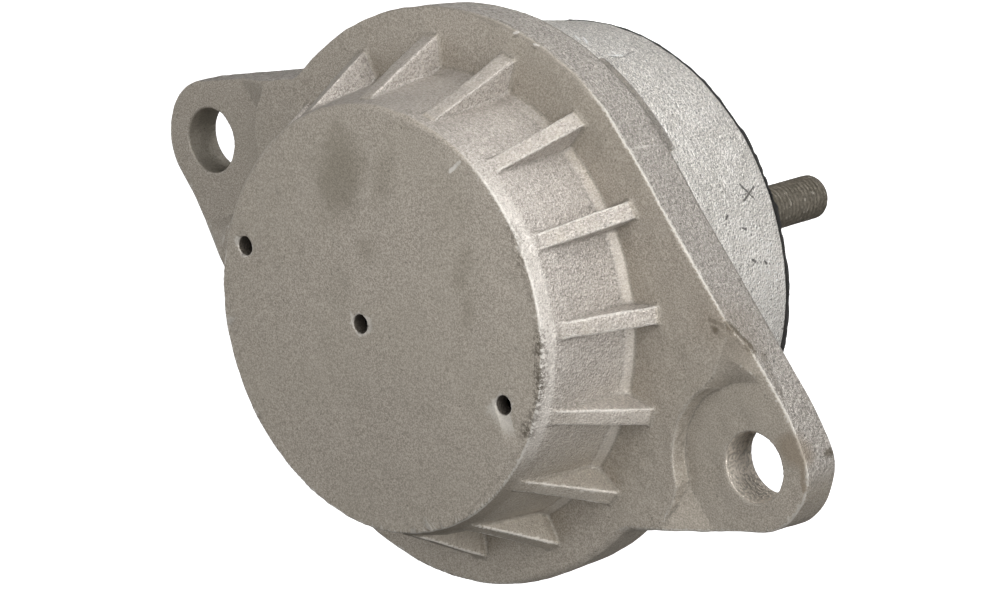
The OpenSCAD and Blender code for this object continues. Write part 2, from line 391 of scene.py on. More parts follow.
    # the casting is never quite true: low waves along the normals
    w = 0.04 * Waves(5.0, 24, 11)(pts) + 0.06 * Waves(17.0, 16, 12)(pts)
    rr = np.hypot(pts[:, 0], pts[:, 1])
    inside = (rr < 66.5) & (pts[:, 2] < 38.0) & (rr < 51.5)
    w = np.where((pts[:, 2] > 0.6) & ~inside, w, 0)
    pts += grad * np.clip(w, -0.14, 0.14)[:, None] - grad * 0.04
    pts = np.clip(pts, np.array(cad_lo) / MM + 0.01, np.array(cad_hi) / MM - 0.01)
    ob = new_mesh("housing_casting", pts, (tris[:, ::-1], quads[:, ::-1]))
    me = ob.data
    at = me.attributes.new("curve", "FLOAT", "POINT")
    at.data.foreach_set("value", np.clip(lap, -1.5, 1.5).astype(np.float32))
    at = me.attributes.new("flank", "FLOAT", "POINT")
    at.data.foreach_set("value", flank.astype(np.float32))
    goal = 194000
    count = len(tris) + 2 * len(quads)
    print("housing triangles before thinning", count)
    mod = ob.modifiers.new("thin", "DECIMATE")
    mod.ratio = min(1.0, goal / count)
    apply_modifiers(ob)
    print("housing triangles", sum(len(p.vertices) - 2 for p in ob.data.polygons))
    return ob


# ---------------------------------------------------------------- materials
class Mat:
    """Small helper that writes shader nodes as expressions."""

    def __init__(self, name):
        self.m = bpy.data.materials.new(name)
        self.m.use_nodes = True
        self.t = self.m.node_tree
        self.t.nodes.clear()
        self.out = self.t.nodes.new("ShaderNodeOutputMaterial")
        self.b = self.t.nodes.new("ShaderNodeBsdfPrincipled")
        self.t.links.new(self.b.outputs[0], self.out.inputs[0])
        self.co = self.t.nodes.new("ShaderNodeTexCoord").outputs["Object"]
        self._n = None

    def put(self, node, i, v):
        if isinstance(v, bpy.types.NodeSocket):
            self.t.links.new(v, node.inputs[i])
        elif v is not None:
            node.inputs[i].default_value = v

    def math(self, op, a, b=None, c=None, clamp=False):
        n = self.t.nodes.new("ShaderNodeMath")
        n.operation, n.use_clamp = op, clamp
        for i, v in enumerate((a, b, c)):
            self.put(n, i, v)
        return n.outputs[0]

    def vec(self, op, a, b=None, scale=None):
        n = self.t.nodes.new("ShaderNodeVectorMath")
        n.operation = op
        self.put(n, 0, a)
        self.put(n, 1, b)
        if scale is not None:
            self.put(n, 3, scale)
        return n.outputs["Value" if op in ("LENGTH", "DISTANCE", "DOT_PRODUCT") else "Vector"]

    def xyz(self, v=None):
        n = self.t.nodes.new("ShaderNodeSeparateXYZ")
        self.put(n, 0, v or self.co)
        return n.outputs

    def normal(self):
        if self._n is None:
            self._n = self.xyz(self.t.nodes.new("ShaderNodeNewGeometry").outputs["Normal"])
        return self._n

    def noise(self, size_mm, detail=2.0, rough=0.5, distort=0.0, vec=None, seed=0.0):
        n = self.t.nodes.new("ShaderNodeTexNoise")
        v = vec or self.co
        if seed:
            v = self.vec("ADD", v, (seed, seed * 0.37, -seed * 0.71))
        self.put(n, "Vector", v)
        n.inputs["Scale"].default_value = 1000.0 / size_mm
        n.inputs["Detail"].default_value = detail
        n.inputs["Roughness"].default_value = rough
        n.inputs["Distortion"].default_value = distort
        return n.outputs[0]

    def emboss(self, size_mm, step, detail=1.0, distort=0.6, seed=0.0):
        """Light and shade of a grainy skin: noise a small step one way minus noise a step the other way."""
        a, b = (self.noise(size_mm, detail, 0.5, distort, self.vec("ADD", self.co, tuple(k * q * MM for q in step)), seed)
                for k in (1, -1))
        return self.math("SUBTRACT", a, b)

    def shade(self, col, grain_shade, k):
        return self.vec("SCALE", col, None, self.math("MULTIPLY_ADD", grain_shade, k, 1.0))

    def cells(self, size_mm, feature="F1", random=1.0, vec=None):
        n = self.t.nodes.new("ShaderNodeTexVoronoi")
        self.put(n, "Vector", vec or self.co)
        n.feature = feature
        n.inputs["Scale"].default_value = 1000.0 / size_mm
        n.inputs["Randomness"].default_value = random
        return n.outputs["Distance"]

    def ramp(self, v, a, b, lo=0.0, hi=1.0, soft=True):
        n = self.t.nodes.new("ShaderNodeMapRange")
        n.interpolation_type = "SMOOTHSTEP" if soft else "LINEAR"
        n.clamp = True
        self.put(n, 0, v)
        for i, x in enumerate((a, b, lo, hi)):
            self.put(n, i + 1, x)
        return n.outputs[0]

    def mix(self, f, a, b, mode="MIX"):
        n = self.t.nodes.new("ShaderNodeMix")
        n.data_type, n.blend_type = "RGBA", mode
        self.put(n, 0, f)
        for i, v in ((6, a), (7, b)):
            if isinstance(v, (tuple, list)) and len(v) == 3:
                v = (*v, 1.0)
            self.put(n, i, v)
        return n.outputs[2]

    def attr(self, name):
        n = self.t.nodes.new("ShaderNodeAttribute")
        n.attribute_name = name
        return n.outputs["Fac"]

    def bump(self, height, dist_mm, strength=1.0, below=None):
        n = self.t.nodes.new("ShaderNodeBump")
        n.inputs["Strength"].default_value = strength
        n.inputs["Distance"].default_value = dist_mm * MM
        self.put(n, "Height", height)
        self.put(n, "Normal", below)
        return n.outputs[0]

    def spot(self, c, r, k=0.35, stretch=(1, 1, 1), warp=None):
        """Soft blotch round a point, 1 in the middle, 0 past its edge (millimetres)."""
        v = self.vec("SUBTRACT", self.co, tuple(q * MM for q in c))
        v = self.vec("MULTIPLY", v, tuple(1.0 / q for q in stretch))
        d = self.vec("LENGTH", v)
        if warp is not None:
            d = self.math("ADD", d, self.math("MULTIPLY", self.math("SUBTRACT", warp, 0.5), 1.4 * r * MM))
        return self.ramp(d, r * (1 - k) * MM, r * (1 + k) * MM, 1.0, 0.0)

    def line(self, a, b, w, warp=None):
        """Thin mark from a to b, w wide (millimetres)."""
        a, b = Vector(a) * MM, Vector(b) * MM
        ab = b - a
        p = self.vec("SUBTRACT", self.co, tuple(a))
        t = self.math("MULTIPLY", self.vec("DOT_PRODUCT", p, tuple(ab)), 1.0 / ab.length_squared, clamp=True)
        n = self.t.nodes.new("ShaderNodeVectorMath")
        n.operation = "SCALE"
        n.inputs[0].default_value = tuple(ab)
        self.put(n, 3, t)
        d = self.vec("DISTANCE", p, n.outputs[0])
        if warp is not None:
            d = self.math("ADD", d, self.math("MULTIPLY", self.math("SUBTRACT", warp, 0.5), w * MM * 2))
        return self.ramp(d, w * 0.3 * MM, w * 0.8 * MM, 1.0, 0.0)

    def add(self, *v):
        s = v[0]
        for q in v[1:]:
            s = self.math("ADD", s, q)
        return s

    def top(self, *v):
        s = v[0]
        for q in v[1:]:
            s = self.math("MAXIMUM", s, q)
        return s

    def set(self, **k):
        for name, v in k.items():
            name = {"color": "Base Color", "metal": "Metallic", "rough": "Roughness", "normal": "Normal",
                    "spec": "Specular IOR Level"}[name]
            if isinstance(v, tuple) and len(v) == 3:
                v = (*v, 1.0)
            self.put(self.b, name, v)
        return self.m


def cast_material():
    m = Mat("cast_aluminium")
    x, y, z = m.xyz()
    nx, ny, nz = m.normal()
    rad = m.math("SQRT", m.add(m.math("MULTIPLY", x, x), m.math("MULTIPLY", y, y)))
    around = m.math("ARCTAN2", y, x)
    curve = m.attr("curve")
    steep = m.ramp(m.math("ABSOLUTE", nz), 0.62, 0.35)
    side = m.math("MULTIPLY", m.ramp(m.attr("flank"), 0.3, 0.7), steep)
    wall = m.math("MULTIPLY", m.ramp(rad, 0.0675, 0.0655), m.math("MULTIPLY", steep, m.ramp(z, 0.0135, 0.015)))
    fine = m.noise(0.36, 1.0, 0.5)
    peel = m.noise(0.78, 1.0, 0.5, seed=3.1)
    worm = m.noise(0.62, 1.0, 0.5, 1.3, seed=6.3)
    mid = m.noise(6.0, 3.0, 0.6, seed=1.7)
    big = m.noise(30.0, 2.0, 0.5, seed=5.3)
    # blasted skin: warm grey, a little lighter and pinker on the drafted walls
    col = m.mix(m.ramp(fine, 0.28, 0.72), (0.262, 0.233, 0.193), (0.498, 0.45, 0.39))
    col = m.mix(m.ramp(peel, 0.3, 0.7, 0.0, 0.2), col, (0.31, 0.279, 0.236))
    col = m.mix(m.ramp(big, 0.35, 0.7, 0.0, 0.22), col, (0.34, 0.31, 0.25))
    col = m.mix(m.ramp(mid, 0.35, 0.75, 0.0, 0.2), col, (0.42, 0.385, 0.335))
    skin = m.mix(m.ramp(worm, 0.36, 0.62), (0.32, 0.296, 0.272), (0.52, 0.484, 0.452))
    col = m.mix(m.math("MULTIPLY", wall, m.ramp(around, -0.5, 0.3, 0.0, 0.75)), col, skin)
    skin = m.mix(m.ramp(worm, 0.36, 0.62), (0.258, 0.24, 0.22), (0.445, 0.418, 0.39))
    col = m.mix(m.math("MULTIPLY", side, m.math("MULTIPLY", m.ramp(y, 0.0, 0.008), 0.8)), col, skin)
    # band turned round the closed end, lighter as rubbed metal and as a painted highlight on its lit side
    band_highlight = m.math("MULTIPLY", m.math("MULTIPLY", m.ramp(z, 0.0374, 0.0388), m.ramp(rad, 0.0500, 0.0512)),
                  m.ramp(nz, 0.99, 0.93))
    band_highlight = m.math("MULTIPLY", band_highlight, m.math("MULTIPLY", m.ramp(around, 1.4, 0.9), m.ramp(around, -0.45, 0.1)))
    col = m.mix(m.math("MULTIPLY", band_highlight, m.ramp(worm, 0.35, 0.6, 0.45, 0.8)), col, (0.64, 0.603, 0.56))
    # painted highlight on the coned foot of the wall, fading out round toward the top
    foot = m.math("MULTIPLY", m.math("MULTIPLY", m.ramp(nz, 0.25, 0.42), m.ramp(nz, 0.85, 0.65)),
                  m.math("MULTIPLY", m.ramp(z, 0.0180, 0.0170), m.ramp(rad, 0.0582, 0.0574)))
    foot = m.math("MULTIPLY", foot, m.ramp(z, 0.0139, 0.0145))
    foot = m.math("MULTIPLY", foot, m.ramp(around, 0.95, 0.72))
    col = m.mix(m.math("MULTIPLY", foot, 0.22), col, (0.6, 0.565, 0.52))
    # painted light and shade of the grainy skin: on the walls (weaker on the band and toward both ends of the round)
    # and on the flange's side
    grain_shade = m.emboss(0.56, (-0.05, 0.13, 0.11), seed=3.9)
    leather_shade = m.emboss(0.8, (-0.05, 0.13, 0.13), 2.0, 0.8, seed=7.9)
    col = m.shade(col, m.math("MULTIPLY", grain_shade, m.math("MULTIPLY", m.math("MULTIPLY", wall, m.ramp(band_highlight, 0.0, 1.0, 1.0, 0.4)), m.math("MULTIPLY", m.ramp(around, -1.0, 0.1, 0.6, 1.0), m.ramp(around, 0.75, 1.1, 1.0, 0.7)))), 1.2)
    col = m.shade(col, m.math("MULTIPLY", leather_shade, m.math("MULTIPLY", side, m.ramp(y, 0.0, 0.01, 0.3, 1.0))), 1.6)
    # painted shade: the walls darker from about 50° round toward the top
    col = m.mix(m.math("MULTIPLY", wall, m.ramp(around, 0.85, 1.2, 0.0, 0.17)), col, (0.24, 0.218, 0.19))
    # painted shade: a dark line along the foot of the flange's side, where it meets the ring
    lip = m.math("MULTIPLY", m.math("MULTIPLY", side, m.ramp(z, 0.0016, 0.0005)), m.ramp(x, 0.085, 0.081))
    col = m.mix(m.math("MULTIPLY", lip, 0.55), col, (0.13, 0.118, 0.1))
    # painted shade: the closed end's edge and the wall are darker low down, toward the lower right; so are the slopes
    # that lead to the right ear, which face the light
    low = m.math("MULTIPLY", m.ramp(around, -0.15, -0.5), m.ramp(around, -1.6, -1.2))
    col = m.mix(m.math("MULTIPLY", low, m.math("MULTIPLY", wall, 0.3)), col, (0.33, 0.288, 0.23))
    col = m.mix(m.math("MULTIPLY", low, m.math("MULTIPLY", m.math("MULTIPLY", m.ramp(z, 0.036, 0.039), m.ramp(nz, 0.995, 0.94)), 0.5)), col, (0.19, 0.165, 0.13))
    ear_ramp_shade = m.math("MULTIPLY", m.math("MULTIPLY", m.ramp(nz, 0.98, 0.93), m.ramp(nz, 0.4, 0.5)),
                   m.math("MULTIPLY", m.ramp(x, 0.068, 0.07), m.ramp(z, 0.0144, 0.0142)))
    col = m.mix(m.math("MULTIPLY", ear_ramp_shade, 0.2), col, (0.2, 0.175, 0.14))
    # reamed ear holes, lighter inside and, as painted light, more so in the right one; painted shade in the left hole
    # and inside the vents
    bore = m.math("MULTIPLY", m.math("MULTIPLY", steep, m.ramp(x, 0.0, 0.01, 0.25, 1.0)), m.top(*[m.ramp(m.vec("LENGTH", m.vec("MULTIPLY", m.vec("SUBTRACT", m.co, (q, 0, 0)), (1, 1, 0))), 0.0092, 0.0087)
                                             for q in (-0.0926, 0.0926)]))
    col = m.mix(m.math("MULTIPLY", bore, m.ramp(peel, 0.35, 0.6, 0.45, 1.0)), col, (0.88, 0.8, 0.7))
    # painted shade in the left ear hole
    left = m.math("MULTIPLY", m.math("MULTIPLY", bore, m.ramp(x, 0.0, -0.01)), 1.1)
    col = m.mix(left, col, (0.2, 0.195, 0.145))
    vent_shade = m.math("MULTIPLY", m.math("MULTIPLY", steep, m.ramp(rad, 0.05, 0.049)), m.math("MULTIPLY", m.ramp(z, 0.036, 0.037), m.ramp(z, 0.0419, 0.0413)))
    col = m.mix(m.math("MULTIPLY", vent_shade, 0.75), col, (0.09, 0.075, 0.058))
    # edges lighter as wear and as painted highlight, fading out round the top; painted shade in crevices
    holes = m.top(*[m.ramp(m.vec("LENGTH", m.vec("MULTIPLY", m.vec("SUBTRACT", m.co, (q, 0, 0)), (1, 1, 0))), 0.0106, 0.0098, 0.0, 0.7)
                    for q in (-0.0926, 0.0926)])
    wear_and_highlight = m.math("MULTIPLY", m.ramp(curve, 0.45, 1.2, 0.0, 0.42), m.ramp(around, 1.3, 1.05, 0.0, 1.0))
    step = m.math("MULTIPLY", m.ramp(m.math("ABSOLUTE", y), 0.0215, 0.0195), m.math("MULTIPLY", m.ramp(x, 0.068, 0.07), m.ramp(x, 0.083, 0.081)))
    wear_and_highlight = m.math("MULTIPLY", wear_and_highlight, m.ramp(step, 0.0, 1.0, 1.0, 0.35))
    col = m.mix(m.math("MULTIPLY", wear_and_highlight, m.ramp(holes, 0.0, 1.0, 1.0, 0.0)), col, (0.7, 0.675, 0.63))
    # painted shade: the flange's front edge darker round the top
    top_edge_shade = m.math("MULTIPLY", m.math("MULTIPLY", m.ramp(around, 1.12, 1.3), m.ramp(around, 2.3, 2.0)),
                      m.math("MULTIPLY", m.ramp(rad, 0.0655, 0.067), m.ramp(z, 0.0115, 0.013)))
    col = m.mix(m.math("MULTIPLY", top_edge_shade, m.ramp(curve, 0.15, 0.7, 0.0, 0.4)), col, (0.2, 0.178, 0.148))
    # painted light on the steep faces out past the cup wall, toward the right
    outer = m.math("MULTIPLY", m.math("MULTIPLY", m.ramp(around, 0.3, 0.15), m.ramp(around, -0.75, -0.55)),
                   m.math("MULTIPLY", wall, m.ramp(rad, 0.0548, 0.0556)))
    col = m.mix(m.math("MULTIPLY", outer, 0.13), col, (0.85, 0.8, 0.73))
    # painted light on the lower gussets: highlights along their edges, and lighter sides where they face round toward
    # the light
    lower_gusset_light = m.math("MULTIPLY", m.math("MULTIPLY", m.ramp(around, -0.3, -0.6), m.ramp(rad, 0.0535, 0.0545)),
                  m.math("MULTIPLY", m.ramp(z, 0.0155, 0.017), m.ramp(z, 0.041, 0.0395)))
    col = m.mix(m.math("MULTIPLY", lower_gusset_light, m.ramp(curve, 0.3, 1.0, 0.0, 0.5)), col, (0.8, 0.765, 0.71))
    across = m.math("DIVIDE", m.math("SUBTRACT", m.math("MULTIPLY", x, ny), m.math("MULTIPLY", y, nx)), rad)
    col = m.mix(m.math("MULTIPLY", lower_gusset_light, m.math("MULTIPLY", m.ramp(across, 0.55, 0.8), m.ramp(worm, 0.35, 0.6, 0.12, 0.3))), col, (0.72, 0.665, 0.585))
    # painted shade in crevices
    col = m.mix(m.ramp(curve, -0.35, -1.3, 0.0, 0.35), col, (0.16, 0.148, 0.125))
    # high on the cup the gussets' sides catch the light and the wall between them doesn't
    high = m.math("MULTIPLY", wall, m.ramp(rad, 0.0535, 0.0545))
    tri = m.math("MULTIPLY", m.math("MULTIPLY", m.ramp(across, -0.55, -0.8), high), m.ramp(around, 1.2, 1.4))
    col = m.mix(m.math("MULTIPLY", tri, m.ramp(worm, 0.35, 0.6, 0.0, 0.24)), col, (0.8, 0.745, 0.69))
    plain = m.math("MULTIPLY", m.math("MULTIPLY", m.ramp(m.math("ABSOLUTE", across), 0.45, 0.25), wall), m.ramp(around, 1.3, 1.55, 0.0, 0.3))
    col = m.mix(plain, col, (0.19, 0.168, 0.138))
    # dark grains in the skin
    pits = m.math("MULTIPLY", m.ramp(m.cells(1.6), 0.12, 0.2, 1.0, 0.0), m.ramp(m.noise(5.0, 1.0, seed=9.0), 0.5, 0.62))
    col = m.mix(m.math("MULTIPLY", pits, 0.5), col, (0.12, 0.105, 0.085))
    # stains and marks on the closed end
    warp = m.noise(7.0, 4.0, 0.65, seed=2.6)
    fray = m.noise(1.6, 3.0, 0.7, seed=4.9)
    up = m.ramp(z, 0.040, 0.0415)
    olive = m.top(m.spot((-20.3, 29.6, 42), 7.6, 0.55, (0.85, 1.35, 1), warp),
                  m.math("MULTIPLY", m.spot((-23.4, 37.5, 42), 3.6, 0.6, (0.7, 1.5, 1), warp), 0.6))
    faint = m.top(m.spot((-7.0, 34.8, 42), 3.8, 0.7, (0.8, 1.9, 1), warp), m.spot((-7.3, 15.7, 42), 3.0, 0.6, (1, 1, 1), warp),
                  m.math("MULTIPLY", m.spot((-13.3, 3.4, 42), 3.6, 0.7, (0.9, 1.3, 1), warp), 0.6),
                  m.math("MULTIPLY", m.spot((15.1, 38.0, 42), 7.0, 0.7, (1, 1, 1), warp), 0.45))
    streak = m.top(m.spot((22.2, 24.5, 42), 3.0, 0.8, (0.8, 1.7, 1), warp), m.spot((26.4, 15.0, 42), 2.8, 0.8, (0.8, 1.7, 1), warp))
    stain = m.top(m.math("MULTIPLY", olive, 0.42), m.math("MULTIPLY", faint, 0.2), m.math("MULTIPLY", streak, 0.24))
    col = m.mix(m.math("MULTIPLY", stain, up), col, (0.135, 0.117, 0.075))
    # painted shade, darker toward the bottom of the closed end; the right ear darker round its hole
    col = m.mix(m.math("MULTIPLY", m.top(m.spot((20, -36, 42), 32, 0.7), m.spot((90, 0, 10), 20, 0.6)), 0.11), col, (0.14, 0.125, 0.1))
    soot = m.top(m.math("MULTIPLY", m.line((33.4, 40.6, 42), (38.8, 33.4, 41.7), 2.8, fray), 0.6),
                 m.math("MULTIPLY", m.line((38.8, 33.4, 41.9), (47.4, 20.6, 41.9), 1.7, fray), 0.4),
                 m.math("MULTIPLY", m.line((51.6, 6.0, 41.6), (51.2, -3.5, 41.8), 2.4, fray), 0.8),
                 m.line((47.9, 19.6, 41.9), (51.9, 5.6, 41.7), 3.0, fray), m.spot((52.4, 12.6, 40.6), 1.3, 0.5, (1, 1, 1), fray),
                 m.math("MULTIPLY", m.line((49.5, 17.5, 40.9), (53.0, 6.6, 40.4), 1.8, fray), 0.5),
                 m.spot((50.7, -3.4, 41.9), 1.9, 0.5, (1, 1.6, 1), fray), m.spot((47.0, -15.5, 42), 0.5, 0.4),
                 m.math("MULTIPLY", m.line((51.8, -6, 41.9), (38.0, -35.2, 41.9), 0.8, fray), 0.3))
    grit = m.ramp(m.noise(0.9, 2.0, 0.6, seed=8.8), 0.42, 0.54, 0.0, 0.9)
    col = m.mix(m.math("MULTIPLY", soot, m.math("MULTIPLY", grit, m.ramp(fray, 0.36, 0.55, 0.35, 1.0))), col, (0.1, 0.083, 0.062))
    nick = m.top(m.line((-0.2, 70.4, 14.2), (0.8, 70.8, 13.6), 0.6, fray), m.line((6.3, 70.3, 13.9), (7.6, 70.2, 13.4), 0.6, fray))
    col = m.mix(m.math("MULTIPLY", nick, 0.6), col, (0.72, 0.7, 0.66))
    nick = m.top(m.line((0.4, 69.8, 14.3), (1.2, 70.2, 14.2), 0.5, fray), m.line((6.0, 69.6, 14.3), (7.4, 69.6, 14.2), 0.5, fray))
    col = m.mix(m.math("MULTIPLY", nick, 0.5), col, (0.12, 0.1, 0.08))
    scratch = m.top(m.line((12.4, 45.3, 42), (13.6, 47.1, 42), 0.8, fray), m.math("MULTIPLY", m.line((13.8, 47.6, 42), (14.7, 48.9, 42), 0.7, fray), 0.7))
    col = m.mix(m.math("MULTIPLY", scratch, 0.7), col, (0.66, 0.64, 0.6))
    # brown line and blot along the flange's edge, stain beside the ear hole
    brown = m.top(m.line((78.3, 31.3, 14.0), (84.3, 26.5, 10.0), 1.5, fray), m.math("MULTIPLY", m.line((85.7, 25.6, 7.3), (95.0, 19.3, 8.6), 1.5, fray), 0.55),
                  m.math("MULTIPLY", m.line((73.5, 30.4, 14.25), (77.9, 30.6, 14.2), 1.0, fray), 0.6), m.spot((75.7, 28.6, 14.2), 0.8, 0.6, (1.4, 1, 1), fray),
                  m.spot((106.2, 9.0, 2.2), 1.4, 0.5, (0.7, 0.7, 1.3), fray))
    col = m.mix(m.math("MULTIPLY", brown, 0.75), col, (0.085, 0.068, 0.045))
    rust = m.top(m.spot((101.9, 9.0, 10), 3.6, 0.5, (1.3, 0.9, 1), warp), m.line((104.9, 8.0, 10), (107.2, 2.0, 10), 1.3, fray),
                 m.math("MULTIPLY", m.spot((80, 31, 12), 7.0, 0.6, (1.5, 1, 1), warp), 0.4))
    col = m.mix(m.math("MULTIPLY", rust, 0.55), col, (0.2, 0.152, 0.1))
    # relief in millimetres: fine on flat faces, wormy orange peel on walls and on the flange's side
    h = m.add(m.math("MULTIPLY", fine, 0.03), m.math("MULTIPLY", peel, 0.03), m.math("MULTIPLY", m.math("MULTIPLY", worm, wall), 0.26),
              m.math("MULTIPLY", m.math("MULTIPLY", worm, side), 0.36), m.math("MULTIPLY", m.math("MULTIPLY", peel, bore), 0.34),
              m.math("MULTIPLY", scratch, -0.03))
    nrm = m.bump(h, 1.0, 1.0)
    rough = m.math("SUBTRACT", m.ramp(peel, 0.3, 0.7, 0.54, 0.66), m.math("MULTIPLY", bore, 0.2))
    return m.set(color=col, metal=0.55, rough=rough, normal=nrm)


RING_R, RIM_R, RING_H = 66.0, 60.2, 38.2


def on_ring(x, y, z):
    """The same place, moved on to the tapered side of the ring."""
    k = (RING_R + (RIM_R - RING_R) * -z / RING_H) / math.hypot(x, y)
    return (x * k, y * k, z)


def ring_material():
    m = Mat("ring_aluminium")
    x, y, z = m.xyz()
    fine = m.noise(0.42, 1.0, 0.5, seed=1.3)
    worm = m.noise(0.85, 2.0, 0.6, 1.4, seed=2.2)
    cloud = m.noise(9.0, 3.0, 0.6, 0.4, seed=7.7)
    big = m.noise(24.0, 2.0, 0.5, seed=4.4)
    fray = m.noise(1.2, 3.0, 0.7, seed=4.9)
    # painted light and shade: the crinkled skin lightened to near white and darkened by its noise, with light cloudy
    # patches as painted sheen
    col = m.mix(m.ramp(worm, 0.34, 0.64), (0.57, 0.545, 0.505), (1.0, 0.965, 0.91))
    col = m.mix(m.ramp(fine, 0.35, 0.65, 0.0, 0.3), col, (0.45, 0.435, 0.415))
    col = m.mix(m.ramp(cloud, 0.45, 0.65, 0.0, 0.4), col, (1.0, 0.97, 0.93))
    col = m.mix(m.ramp(big, 0.35, 0.7, 0.0, 0.2), col, (0.6, 0.572, 0.535))
    # painted light: the ring lighter round the right, darker past about 40° round
    around = m.math("ARCTAN2", y, x)
    col = m.mix(m.ramp(around, 0.85, 0.4, 0.0, 0.3), col, (1.0, 0.955, 0.895))
    col = m.mix(m.ramp(around, 0.42, 0.7, 0.0, 0.2), col, (0.61, 0.575, 0.53))
    # painted light and shade of the crinkled skin
    col = m.shade(col, m.emboss(0.6, (-0.04, 0.12, 0.13), 1.0, 0.7, seed=6.1), 1.8)
    # painted shadow close under the flange, low on the side
    flange_shadow = m.math("MULTIPLY", m.ramp(z, -0.021, -0.010), m.ramp(around, 1.0, 0.75))
    col = m.mix(m.math("MULTIPLY", flange_shadow, 0.06), col, (0.42, 0.395, 0.36))
    # dark specks, a crossed nick and short marks; scraped light lines high on the ring
    region = m.spot((52.0, 35.5, -20), 9.0, 0.8)
    specks = m.math("MULTIPLY", m.ramp(m.cells(1.5), 0.14, 0.22, 1.0, 0.0),
                    m.ramp(m.add(m.noise(5.0, 1.0, seed=8.0), m.math("MULTIPLY", region, 0.16)), 0.53, 0.6))
    col = m.mix(m.math("MULTIPLY", specks, 0.75), col, (0.1, 0.092, 0.082))
    marks = []
    for p, q, w, k in (((44.5, 43.4, -27.1), (47.0, 40.0, -30.8), 0.6, 1.0), ((44.9, 41.9, -32.4), (47.3, 40.5, -26.4), 0.55, 1.0),
                       ((46.3, 41.7, -25.6), (45.9, 41.0, -31.4), 0.45, 0.6), ((50.2, 38.9, -16.4), (50.1, 39.7, -17.2), 0.65, 1.0),
                       ((51.6, 35.9, -22.4), (51.6, 35.3, -23.8), 0.55, 1.0), ((55.6, 28.9, -24.0), (55.6, 28.2, -25.2), 0.65, 1.0),
                       ((55.6, 27.4, -29.2), (55.6, 26.8, -30.0), 0.55, 1.0), ((8.2, 63.5, -13.6), (8.8, 62.9, -17.8), 0.45, 0.5),
                       ((8.8, 62.9, -17.8), (5.9, 62.1, -25.0), 0.45, 0.5)):
        marks.append(m.math("MULTIPLY", m.line(on_ring(*p), on_ring(*q), w, fray), k))
    col = m.mix(m.math("MULTIPLY", m.top(*marks), 0.85), col, (0.07, 0.065, 0.058))
    scraped = m.top(*[m.line(on_ring(*p), on_ring(*q), 0.6, fray) for p, q in
                      (((-4.0, 63.8, -14.1), (-1.0, 64.0, -12.0)), ((-2.4, 63.8, -15.4), (1.1, 64.2, -12.8)), ((7.4, 63.5, -13.9), (7.9, 63.0, -18.4)))])
    col = m.mix(scraped, col, (1.0, 1.0, 0.98))
    nrm = m.bump(m.add(m.math("MULTIPLY", fine, 0.06), m.math("MULTIPLY", worm, 0.4), m.math("MULTIPLY", cloud, 0.8)), 1.0, 1.0)
    return m.set(color=col, metal=0.55, rough=m.ramp(fine, 0.3, 0.7, 0.33, 0.46), normal=nrm)


def rubber_material(name="black_rubber"):
    m = Mat(name)
    n1 = m.noise(1.1, 3.0, 0.6)
    n2 = m.noise(12.0, 2.0, 0.5, seed=3.0)
    col = m.mix(m.ramp(n2, 0.35, 0.7), (0.01, 0.01, 0.01), (0.024, 0.023, 0.022))
    col = m.mix(m.ramp(n1, 0.55, 0.75, 0.0, 0.4), col, (0.035, 0.033, 0.031))
    nrm = m.bump(n1, 0.12, 0.5)
    return m.set(color=col, metal=0.0, rough=m.ramp(n1, 0.3, 0.7, 0.62, 0.8), normal=nrm)


def steel_material(name, dark, light, metal, r0, r1, bump=0.05, glint=None):
    m = Mat(name)
    x, y, z = m.xyz()
    rings = m.noise(0.5, 2.0, 0.6, vec=m.vec("MULTIPLY", m.co, (0.25, 0.25, 1.0)))
    n1 = m.noise(0.8, 3.0, 0.6, seed=2.0)
    big = m.noise(14.0, 3.0, 0.6, seed=6.0)
    col = m.mix(m.ramp(n1, 0.3, 0.7), dark, light)
    col = m.mix(m.ramp(big, 0.4, 0.7, 0.0, 0.4), col, dark)
    if glint:
        # painted glints on the thread's crests, which are also rubbed, and on the tip's chamfer
        crest_glint = m.math("MULTIPLY", m.ramp(m.noise(2.2, 2.0, 0.6, seed=5.5), 0.52, 0.62), m.ramp(m.noise(0.4, 1.0, seed=1.1, vec=m.vec("MULTIPLY", m.co, (0.35, 0.35, 1.0))), 0.52, 0.62))
        col = m.mix(m.top(crest_glint, m.math("MULTIPLY", m.ramp(z, -0.1252, -0.1262), 0.45)), col, glint)
    nrm = m.bump(m.add(n1, m.math("MULTIPLY", rings, 0.6)), bump, 0.5)
    return m.set(color=col, metal=metal, rough=m.ramp(n1, 0.3, 0.7, r0, r1), normal=nrm)


M_CAST = cast_material()
M_RING = ring_material()
M_RUBBER = rubber_material()
M_SOFT = rubber_material("soft_rubber")
M_CORE = steel_material("core_steel", (0.2, 0.195, 0.18), (0.36, 0.35, 0.33), 0.8, 0.38, 0.55)
M_STUD = steel_material("stud_steel", (0.112, 0.099, 0.076), (0.215, 0.19, 0.153), 0.45, 0.48, 0.62, 0.16, (0.36, 0.33, 0.285))
M_PLATE = steel_material("plate_aluminium", (0.42, 0.42, 0.4), (0.6, 0.6, 0.58), 0.85, 0.35, 0.5)


def paint(ob, mat):
    ob.data.materials.clear()
    ob.data.materials.append(mat)


# ---------------------------------------------------------------- pieces
housing = build_housing()
paint(housing, M_CAST)
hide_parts("housing")
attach(housing, "housing_side")

ring_in0, ring_in1 = 59.5, 57.0


def ring_in(zz):
    return ring_in0 + (ring_in1 - ring_in0) * (-zz) / RING_H


w_ring = Waves(3.2, 30, 21)
w_ring2 = Waves(11.0, 14, 22)


def ring_wobble(th, r, zz):
    p = np.stack([r * np.cos(th), r * np.sin(th), zz], -1).reshape(-1, 3)
    w = (0.035 * w_ring(p) + 0.05 * w_ring2(p)).reshape(r.shape)
    outside = (r > 59.9) & (zz < -0.5)
    return np.where(outside, w - 0.06, 0.0), np.zeros_like(r)


